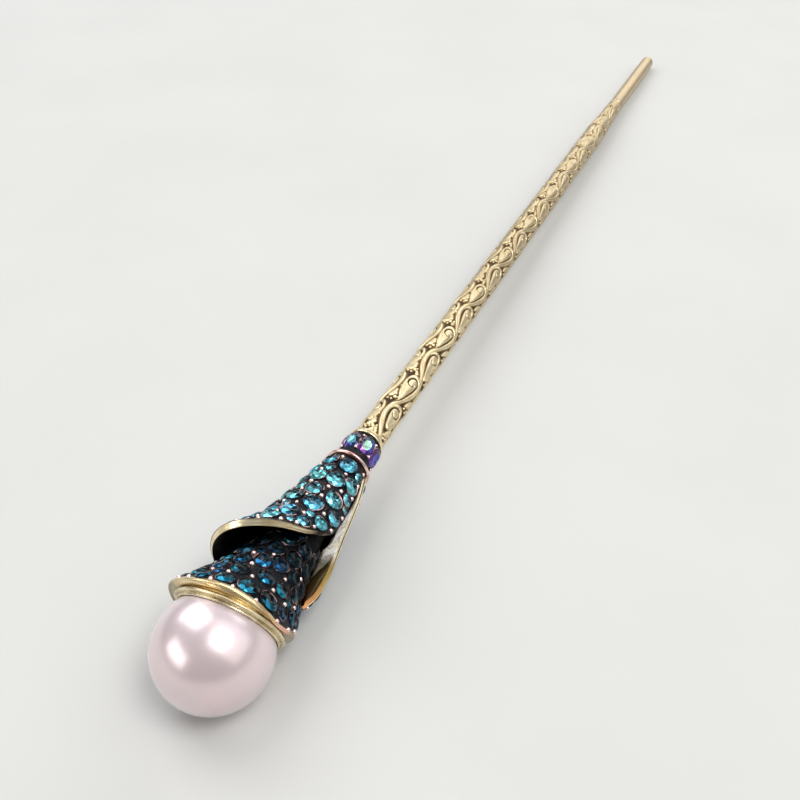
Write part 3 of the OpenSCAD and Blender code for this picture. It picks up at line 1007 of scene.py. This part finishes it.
tealPaving = {
    "read": [
        (-22.3, 3.45, 1.9), (-3.4, 3.95, 1.95), (18.6, 4.25, 2.15), (42.5, 4.5, 2.2), (64, 5.1, 1.6),
        (86, 6.1, 1.6), (-31, 6.3, 2.1), (-3.6, 6.15, 2.0), (26.5, 6.8, 1.9), (50.5, 7.0, 1.6),
        (76.3, 8.3, 1.6), (10.4, 8.66, 2.0), (61.9, 9.6, 1.9), (31, 9.5, 2.0),
    ],
    "radii": (0.98, 0.88, 0.78, 0.66, 0.54),
    "gap": 0.11,
    "margin": 0.10,
    "seeds": (12, 6, 22),
    "colours": (
        ((0.010, 0.25, 0.33), (0.0004, 0.004, 0.006)), ((0.007, 0.10, 0.29), (0.0004, 0.003, 0.009)),
    ),
    "lit": 0.17,
    "glass": [tealSkin, shadedGlassSkin],
    "metal": [innerGroundSkin, darkBezelSkin],
    "bezelRise": 0.03,
    # in the shade of the outer petal
    "shade": lambda azimuth, z: rampTo(8.6, 10.6, z + 1.3 * hump(25, 60, 90, 120, azimuth)),
    # no bead is seen in the mouth's depth
    "beads": {"edge": 0.16, "least": 0.17, "most": 0.25, "apart": 1.9, "below": 10.4},
}


def setPaving(petal, stone, side, spots, normals, rim):
    # stones, their bezels and the beads between them on one petal
    spots, normals = spots.reshape(-1, 3), normals.reshape(-1, 3)
    edge = edgeDistance(spots, rim)
    places, radii, clear = pave(spots, normals, edge, readStones(spots, edge, petal["read"]), petal)
    at, stoneNormals = spots[places], normals[places]
    bright, dark = shades(len(places), petal["colours"], petal["seeds"][1])
    shade = petal["shade"](np.degrees(np.arctan2(at[:, 0], -at[:, 1])), at[:, 2])
    bright = bright * (1 - 0.92 * shade[:, None])  # painted shade: little of the foil's colour is left in full shade
    inShade = (shade > 0.7).astype(int)  # these get the shaded glass, a duller copy, as painted shade
    setStones(stone + "_stones", at, stoneNormals, radii, bright, dark, petal["lit"], petal["glass"],
              petal["seeds"][2], inShade)
    setBezels(stone + "_bezels", at, stoneNormals, radii, petal["bezelRise"], petal["metal"])
    beads = petal["beads"]
    clear = np.where(spots[:, 2] > beads["below"], 0.0, clear)
    found, beadR = beadsBetween(spots, normals, clear, edge, beads)
    setBeads(side + "_petal_beads", spots[found], normals[found], beadR)
    print(side, "petal paved:", len(places), "stones,", len(found), "beads")


def paveOuterPetal():
    v, k = np.meshgrid(np.linspace(0.004, 0.996, 420), np.linspace(0.03, 0.995, 170))
    fineV, fineK = np.linspace(0, 1, 170), np.linspace(0, 1, 70)
    sides = [(fineV, 1.0), (0.0, fineK), (1.0, fineK), (fineV, 0.012)]
    rim = np.concatenate([outerPoint(*side) for side in sides])
    setPaving(turquoisePaving, "turquoise", "outer", outerPoint(v, k), outerNormals(v, k), rim)


def paveInnerPetal():
    pavedFrom, pavedTo = 0.36, innerPetal["rimFrom"]
    u, k = np.meshgrid(np.linspace(0, 1, 480, endpoint=False), np.linspace(pavedFrom, pavedTo, 170))
    alongU = innerPoint(u + 0.002, k) - innerPoint(u - 0.002, k)
    alongK = innerPoint(u, k + 0.003) - innerPoint(u, k - 0.003)
    spots, normals = innerPoint(u, k), unit(np.cross(alongK, alongU))
    if (normals[..., :2] * spots[..., :2]).sum(-1).mean() < 0:
        normals = -normals
    fineU = np.linspace(0, 1, 200, endpoint=False)
    rim = np.concatenate([innerPoint(fineU, pavedTo), innerPoint(fineU, pavedFrom)])
    setPaving(tealPaving, "teal", "inner", spots, normals, rim)


paveOuterPetal()
paveInnerPetal()


collar = {
    "z": 27.7,  # of its foot
    "lowR": 2.8,
    "topR": 2.2,
    "cols": 120,
    "stones": 7,
    "firstAzimuth": 32.6,
    "stoneD": 2.06,
    "stoneOval": 1.34,
    "stoneTable": 0.54,
    "tableTo": 0.51,  # facets with their middle inside it have the table's colour
    "stoneZ": 2.98,  # above the collar's foot
    "stoneR": 2.10,
    "leanUp": -9,
    "beadRows": [(2.14, 1.16), (2.26, -1.06)],  # radius, height above the stones' middle
    "beadR": 0.2,
}


def turnedPiece(name, profile, material, cols=collar["cols"], lean=lambda p: p):
    # a closed profile of (r, z) turned about the stick's axis, or about one that leans
    points = lean(turnedProfile(profile, cols))
    faces = gridFaces(len(profile), cols, closed=True, looped=True)
    return makePiece(name, layDown(points), faces, [material])


def collarRing(name, foot, steps, corner, material):
    # radii and heights above the collar's foot, closed at the bore
    steps = [(stick["boreR"], foot), *steps, (stick["boreR"], steps[-1][1])]
    profile = [(r, collar["z"] + h) for r, h in steps]
    return turnedPiece(name, roundProfile(profile, corner) if corner else profile, material)


def auroraStones(at, normals):
    # a mint or aqua table over violet, blue and rose facets
    c = collar
    stones = []
    radius = c["stoneD"] / 2
    x, y = frames(normals)
    tables = np.array([
        (0.50, 0.90, 0.70), (0.06, 0.07, 0.55), (0.30, 0.75, 0.72), (0.50, 0.90, 0.70),
        (0.10, 0.10, 0.58), (0.50, 0.88, 0.70), (0.20, 0.68, 0.74),
    ])
    # facets' colours from the pearl's side round, and how far they are turned on each stone
    sides = np.array([(0.20, 0.06, 0.36), (0.05, 0.06, 0.44), (0.010, 0.06, 0.075), (0.07, 0.015, 0.07)])
    turns = (0.0, 0.4, 0.9, 1.7, 2.4, 3.1, 1.1)
    draw = np.random.default_rng(9)
    for i in range(len(at)):
        shape, cutFaces = brilliant(radius, c["stoneTable"])
        tints = []
        for face in cutFaces:
            middle = shape[list(face)].mean(0) / radius
            if math.hypot(middle[0], middle[1]) < c["tableTo"]:
                tints.append(tables[i] * draw.uniform(0.75, 1.0))
            else:
                sector = (math.atan2(middle[1], middle[0]) / (2 * math.pi) * 4 + turns[i]) % 4
                a, w = int(sector) % 4, sector % 1
                tints.append((sides[a] * (1 - w) + sides[(a + 1) % 4] * w) * draw.uniform(0.5, 1.6))
        stones.append(((shape, cutFaces), at[i], (c["stoneOval"] * x[i], y[i], normals[i]), tints, 0))
    return stonePiece("aurora_stones", stones, [auroraSkin])


def setCollar():
    # four rings over one another, and the stones and beads round the waist
    c = collar
    low, top = c["lowR"], c["topR"]
    waist = [(2.25, 0.58), (2.14, 1.1), (1.98, 2.7), (1.92, 4.2), (2.0, 4.8)]
    roseRing = [(2.45, 0), (low - 0.16, 0), (low, 0.12), (low, 0.32), (low - 0.2, 0.46), (2.35, 0.54)]
    goldRing = [(2.0, 4.82), (2.16, 4.86), (top, 4.96), (top, 5.06), (2.14, 5.16), (1.96, 5.2)]
    neck = [(1.90, 5.22), (1.93, 5.3), (1.90, 5.4)]
    collarPiece = collarRing("collar_waist", 0.56, waist, 0.15, outerGroundSkin)
    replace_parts(collarPiece, "collar")
    collarRing("collar_rose_ring", -0.02, roseRing, 0.12, roseGoldSkin)
    collarRing("collar_gold_ring", 4.82, goldRing, 0.06, paleGoldSkin)
    collarRing("collar_neck", 5.21, neck, None, outerGroundSkin)
    azimuths = c["firstAzimuth"] + np.arange(c["stones"]) * 360 / c["stones"]
    waistZ, leanUp = c["z"] + c["stoneZ"], math.radians(c["leanUp"])
    at = around(azimuths, c["stoneR"], waistZ)
    normals = around(azimuths, math.cos(leanUp), math.sin(leanUp))
    auroraStones(at, normals)
    setBezels("collar_bezels", at, normals, np.full(len(at), c["stoneD"] / 2), -0.03,
              [outerGroundSkin, bezelSkin], stretch=c["stoneOval"])
    between = azimuths + 180 / c["stones"]
    beadAt = np.concatenate([around(between, r, waistZ + h) for r, h in c["beadRows"]])
    beadNormals = np.concatenate([around(between, 1.0, 0.0)] * len(c["beadRows"]))
    setBeads("collar_beads", beadAt, beadNormals, np.full(len(beadAt), c["beadR"]))


setCollar()
print("collar set")

# steps from the lip outwards and up the cup's outside, mm
cupOutside = [
    (0.02, -0.06), (0.17, -0.04), (0.22, 0.06), (0.19, 0.16), (0.13, 0.22), (0.16, 0.27), (0.34, 0.25),
    (0.50, 0.28), (0.59, 0.36), (0.60, 0.46), (0.52, 0.57), (0.34, 0.66), (0.06, 0.72), (-0.12, 0.74),
]


def turnCup():
    # the bowl's inside, the steps, and the bowl's outside
    def arc(r, degrees):  # from the axis of the pearl
        return [(math.sin(a) * r, math.cos(a) * r) for a in np.radians(degrees)]

    lip = np.array(arc(cup["lipR"], [cup["lipAngle"]])[0])
    profile = arc(cup["lipR"], np.arange(0.6, 61.0, 3.0))
    profile += [tuple(lip + np.array(step)) for step in cupOutside]
    profile += arc(cup["bowlR"], np.arange(52, 0, -3.0))
    return turnedPiece("pearl_cup_steps", roundProfile(profile, 0.05, 3), cupGoldSkin,
                       cup["cols"], leanWithCup)


pearl = {
    "drillR": 0.8,
    "drillTo": 3.2,
    "dents": 0.012,  # mm
    "around": 160,
    "along": 96,
}


def pearlPiece():
    # a drilled pearl, turned about the cup's axis, with the faint unevenness of its coating
    r, drillR = stick["pearlR"], pearl["drillR"]
    polar = np.linspace(drillR / r, math.pi - 0.012, pearl["along"])
    rows = [(drillR, pearl["drillTo"]), (drillR, math.sqrt(r**2 - drillR**2))]
    rows += [(math.sin(a) * r, math.cos(a) * r) for a in polar]
    points = turnedProfile(rows, pearl["around"])
    away = np.linalg.norm(points, axis=1)
    skin = away > r - 0.01
    waves = (((3, 5, 2), 0.4), ((-4, 2, 5), 1.3), ((2, -6, 4), 2.2))
    wave = sum(np.sin(points / away[:, None] @ np.array(w) + s) for w, s in waves)
    points[skin] *= 1 - pearl["dents"] * (1.5 - 0.5 * wave[skin, None]) / 3 / r
    faces = gridFaces(len(rows), pearl["around"], closed=True, flip=True)
    faces += capFaces(len(rows), pearl["around"])
    return makePiece("pearl_body", layDown(leanWithCup(points)), faces, [nacreSkin])


cupPiece = turnCup()
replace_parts(cupPiece, "pearl_cup")
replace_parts(pearlPiece(), "pearl")
print("cup and pearl done")


scroll = {
    "from": 33.4,
    "to": 154.4,
    "firstCurl": 37.76,
    "halfPitch": 6.277,
    "rows": 4,
    "rowAzimuth": 43.0,
    "deep": 0.34,
    "plateHeight": 0.93,
    "bodyHeight": 0.46,
    "spiralDepth": 0.95,
    "amplitude": 1.05,  # of the vine, mm
    "vineW": 0.40,
    "fadeFrom": 152.5,  # the relief runs out into the smooth end
    "fadeTo": 155.5,
    "cellAlong": 0.05,
    "cellAcross": 0.03,
    "around": 160,
    "rowsEach": 527,  # rows of points on each scrolled length
}
# one curl, for a vine that passes on the side of smaller azimuth: along, across, half width, mm
plate = [
    (0.95, 0.28, 1.06), (0.45, 0.46, 1.06), (-0.30, 0.55, 0.97), (-0.90, 0.60, 0.87),
    (-1.50, 0.63, 0.74), (-2.10, 0.62, 0.57), (-2.60, 0.56, 0.42), (-3.20, 0.50, 0.28),
    (-3.70, 0.50, 0.14),
]
spiral = [
    (-4.40, 1.00, 0.05), (-3.64, 0.46, 0.07), (-2.84, 0.12, 0.08), (-1.44, -0.24, 0.07),
    (-0.70, -0.38, 0.07), (-0.10, -0.47, 0.08), (0.45, -0.50, 0.10), (0.98, -0.32, 0.12),
    (1.24, 0.14, 0.14), (1.14, 0.60, 0.14), (0.80, 0.90, 0.12), (0.35, 1.00, 0.10),
    (-0.08, 0.86, 0.08), (-0.33, 0.55, 0.07), (-0.33, 0.25, 0.065), (-0.14, 0.02, 0.06),
    (0.14, -0.06, 0.04),
]
vein = [(-2.60, 0.66, 0.04), (-1.70, 0.86, 0.06), (-0.90, 1.06, 0.06), (-0.30, 1.26, 0.04)]
leaf = [(2.95, 1.02, 0.24), (3.3, 1.22, 0.40), (3.7, 1.38, 0.42), (4.25, 1.50, 0.22)]
pebbles = [
    (2.90, -1.24, 0.40), (3.62, -1.38, 0.32), (2.28, -1.50, 0.26), (3.20, -0.80, 0.22),
    (2.55, 0.95, 0.24), (-0.9, -1.50, 0.14),
]
fillers = [(2.35, -0.62, 0.34), (2.78, -0.72, 0.30)]
# pebbles before the first curl: height along the stick, across, half width
firstPebbles = [
    (34.3, 0.55, 0.30), (34.9, 1.10, 0.30), (35.6, 0.62, 0.30), (35.9, 1.25, 0.26), (34.2, 1.35, 0.22),
    (36.4, 0.78, 0.2), (33.9, -1.1, 0.34), (34.6, -1.42, 0.24), (35.3, -1.3, 0.2),
]


def densely(stroke, spacing=0.05):
    # the same stroke with points close together
    stroke = np.asarray(stroke, float)
    run = np.r_[0, np.cumsum(np.hypot(*np.diff(stroke[:, :2], axis=0).T))]
    at = np.linspace(0, run[-1], max(2, int(run[-1] / spacing)))
    return np.stack([smoothLookup(np.c_[run, stroke[:, i]], 1, at) for i in range(3)], -1)


def reliefMap():
    # height of one row of relief, 0 to 1, over the whole length: along x across
    s = scroll
    wide = 2 * math.pi * stick["scrollR"] / s["rows"]
    rows = int((s["to"] - s["from"]) / s["cellAlong"]) + 1
    cols = int(round(wide / s["cellAcross"]))
    along = s["from"] + np.arange(rows) * s["cellAlong"]
    across = ((np.arange(cols) + 0.5) / cols - 0.5) * wide
    top, body, cutAway, shallow = (np.zeros((rows, cols)) for _ in range(4))
    draw = np.random.default_rng(3)

    def stroke(heights, points, sharp):
        for shift in (-wide, 0, wide):
            for x, y, w in points:
                y += shift
                a = max(int((x - w - s["from"]) / s["cellAlong"]), 0)
                b = min(int((x + w - s["from"]) / s["cellAlong"]) + 2, rows)
                if abs(y) > wide / 2 + w or b <= a:
                    continue
                d = ((along[a:b, None] - x) ** 2 + (across[None, :] - y) ** 2) / w**2
                heights[a:b] = np.maximum(heights[a:b], np.clip(1 - d, 0, 1) ** sharp)

    def raised(points, sharp=0.34, height=1.0):
        points = np.array(points, float)
        own = np.zeros((rows, cols))
        stroke(own, points, sharp)
        np.maximum(top, own * height, out=top)
        if sharp < 0.5:  # broad work stands on a lower, wider body
            stroke(body, np.c_[points[:, :2], points[:, 2] * 1.05 + 0.16], 0.3)

    run = np.arange(s["from"] - 1, s["to"] + 1, 0.04)
    vine = -s["amplitude"] * np.cos(math.pi * (run - s["firstCurl"]) / s["halfPitch"])
    raised(np.c_[run, vine, np.full(len(run), s["vineW"])])
    count = int((s["to"] - s["firstCurl"]) / s["halfPitch"]) + 1
    for k in range(-1, count + 1):
        side = 1 if k % 2 == 0 else -1
        centre = s["firstCurl"] + k * s["halfPitch"]
        shift = (centre + draw.normal(0, 0.04), draw.normal(0, 0.03), 0)
        line = densely(plate) * (1, side, 1) + shift
        line = line[line[:, 0] > s["firstCurl"] - 1.6]  # none in front of the first curl
        raised(line, 0.15, s["plateHeight"])
        raised(densely(leaf) + shift)
        if k >= 0:
            broad = 1.32 - 0.24 * float(rampTo(45, 95, centre))  # grooves are wider near the head
            stroke(cutAway, densely(spiral) * (1, side, broad) + shift, 0.5)
            stroke(shallow, densely(vein) * (1, side, 1) + shift, 0.5)
        for x, y, w in pebbles + (fillers if side < 0 else []):
            x, y = centre + x + draw.normal(0, 0.06), y + draw.normal(0, 0.05)
            raised([(x, y, w * draw.uniform(0.85, 1.1))], 0.6)
    for pebble in firstPebbles:
        raised([pebble], 0.6)
    depth = s["spiralDepth"] * (1 - 0.55 * rampTo(60, 120, along))[:, None]
    return np.maximum(top, s["bodyHeight"] * body) * (1 - depth * cutAway) * (1 - 0.35 * depth * shallow)


relief = reliefMap()


def reliefAt(azimuth, z):
    # the map's height, smooth between its cells; the rows are the same all round
    s = scroll
    rows, cols = relief.shape
    across = ((azimuth - s["rowAzimuth"]) * s["rows"] / 360 + 0.5) % 1 * cols - 0.5
    along = np.clip((z - s["from"]) / s["cellAlong"], 0, rows - 1.001)
    i0, j0 = np.floor(across).astype(int), np.floor(along).astype(int)
    fi, fj = across - i0, along - j0
    value = 0
    for dj in (0, 1):
        for di in (0, 1):
            w = (fi if di else 1 - fi) * (fj if dj else 1 - fj)
            value = value + w * relief[j0 + dj, (i0 + di) % cols]
    return value


tipZ = stick["length"] - stick["tipR"]  # where the rounded end starts
# height along the stick, radius over the raised work
shaftTable = [
    (30, stick["scrollR"]), (141, stick["scrollR"]), (147, 1.66), (155, 1.5), (158, stick["tipR"]),
    (tipZ, stick["tipR"]),
]
# name, where it starts and ends along the stick, rows of points
shaftLengths = [
    ("shaft_scrolls_near", 33.15, 74.3, scroll["rowsEach"]),
    ("shaft_scrolls_middle", 74.3, 115.6, scroll["rowsEach"]),
    ("shaft_scrolls_far", 115.6, 156.5, scroll["rowsEach"]),
    ("shaft_smooth_end", 156.5, tipZ, 40),
]


def shaftPiece(name, z0, z1, rowsAlong):
    # one length of the shaft, sunk where the relief is low
    s, tipR = scroll, stick["tipR"]
    azimuths = np.arange(s["around"]) * 360 / s["around"]
    z, azimuth = np.meshgrid(np.linspace(z0, z1, rowsAlong), azimuths, indexing="ij")
    fade = rampTo(s["from"], s["from"] + 0.35, z) * (1 - rampTo(s["fadeFrom"], s["fadeTo"], z))
    sunk = (1 - reliefAt(azimuth, z)) * fade
    r = np.interp(z, *np.array(shaftTable).T) - s["deep"] * sunk * (1 - 0.35 * rampTo(90, 150, z))
    # paler hollows further along
    shown = 1 - sunk * (1 - 0.10 * rampTo(40, 60, z) - 0.28 * rampTo(70, 150, z))
    post, end = [], []
    if name == shaftLengths[0][0]:  # the hidden post
        post = [around(azimuths, stick["postR"], zPost) for zPost in (stick["postFrom"], z0)]
    if name == shaftLengths[-1][0]:  # the rounded end
        arc = np.linspace(0.08, 0.5 * math.pi - 0.02, 14)
        end = [around(azimuths, tipR * math.cos(a), tipZ + tipR * math.sin(a)) for a in arc]
    points = np.concatenate(post + [around(azimuth, r, z).reshape(-1, 3)] + end)
    plain, tip = np.zeros(len(post) * len(azimuths)), np.ones(len(end) * len(azimuths))
    marks = {
        "relief": np.r_[plain, shown.ravel(), tip],
        "along": np.r_[plain, (z / stick["length"]).ravel(), tip],
    }
    rows = len(points) // len(azimuths)
    faces = gridFaces(rows, len(azimuths), closed=True) + capFaces(rows, len(azimuths))
    return makePiece(name, layDown(points), faces, [castGoldSkin], marks=marks)


lower = [shaftPiece(*length) for length in shaftLengths][0]
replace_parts(lower, "shaft")
print("shaft cast")


# metres; the last ones fade into the background
floorRadii = (0.4, 0.8, 1.2, 1.4, 1.6, 1.8, 2.0, 2.2, 2.4, 2.6)
floorCols = 96


def floorPaint():
    # pale and plain, with a little unevenness in its tone
    paint = Paint("floorPaint")
    cloud = paint.noise(30, 3, 0.5)
    colour = paint.mix(cloud.between(0.3, 0.7), (0.565, 0.565, 0.552), (0.548, 0.548, 0.536))
    return paint.finish(base_color=colour, roughness=0.8, alpha=paint.mark("solid"))


def layFloor():
    # a wide disc that turns clear towards its edge
    mesh = bpy.data.meshes.new("floor")
    points = turnedProfile([(r, 0.0) for r in floorRadii], floorCols)
    faces = gridFaces(len(floorRadii), floorCols, closed=True) + [tuple(range(floorCols))]
    mesh.from_pydata(points.tolist(), [], faces)
    solid = mesh.attributes.new("solid", "FLOAT", "POINT")
    shown = np.repeat(1 - rampTo(1.2, 2.6, np.array(floorRadii)), floorCols)
    solid.data.foreach_set("value", shown.astype(np.float32))
    mesh.materials.append(floorPaint())
    floor = putIn("floor", mesh)


lights = {  # towards it from the pearl, distance, its two sizes in metres, radiance, colour
    "overhead": ((0.62, 0.10, 0.78), 0.72, (0.80, 1.00), 1.15, (1.0, 0.985, 0.965)),
    "highRight": ((0.45, -0.05, 0.89), 0.68, (0.27, 0.27), 8.5, (1.0, 0.99, 0.975)),
    "beyond": ((0.02, 0.86, 0.46), 0.95, (0.95, 0.50), 2.1, (1.0, 0.985, 0.96)),
    "windowLeft": ((-0.56, 0.27, 0.78), 0.65, (0.40, 0.60), 3.1, (0.98, 0.99, 1.0)),
    "behindLeft": ((-0.60, -0.68, 0.42), 0.65, (0.50, 0.26), 3.0, (1.0, 0.99, 0.97)),
}
further = 1.7  # all lamps this much further off and as much larger, so that the floor is lit evenly


def hangLamp(name, towards, distance, sizes, radiance, colour):
    lamp = bpy.data.lights.new(name, "AREA")
    lamp.shape = "RECTANGLE"
    lamp.size, lamp.size_y = sizes[0] * further, sizes[1] * further
    lamp.energy = radiance * math.pi * lamp.size * lamp.size_y
    lamp.color = colour
    holder = putIn(name, lamp)
    direction = Vector(towards).normalized()
    place = Vector(pearlCentre) + direction * distance * further
    turned = (-direction).to_track_quat("-Z", "Y").to_matrix().to_4x4()
    holder.visible_camera = False
    holder.matrix_world = Matrix.Translation(place) @ turned


def setWorld(colour, strength):
    world = bpy.data.worlds.new("studio")
    bpy.context.scene.world = world
    world.use_nodes = True
    nodes, links = world.node_tree.nodes, world.node_tree.links
    nodes.clear()
    background = nodes.new("ShaderNodeBackground")
    background.inputs["Color"].default_value = (*colour, 1)
    background.inputs["Strength"].default_value = strength
    output = nodes.new("ShaderNodeOutputWorld")
    links.new(background.outputs[0], output.inputs[0])


layFloor()
for name, settings in lights.items():
    hangLamp(name, *settings)
setWorld((0.80, 0.82, 0.84), 0.25)
bpy.context.scene.view_settings.view_transform = "Standard"
print("floor and lights set")
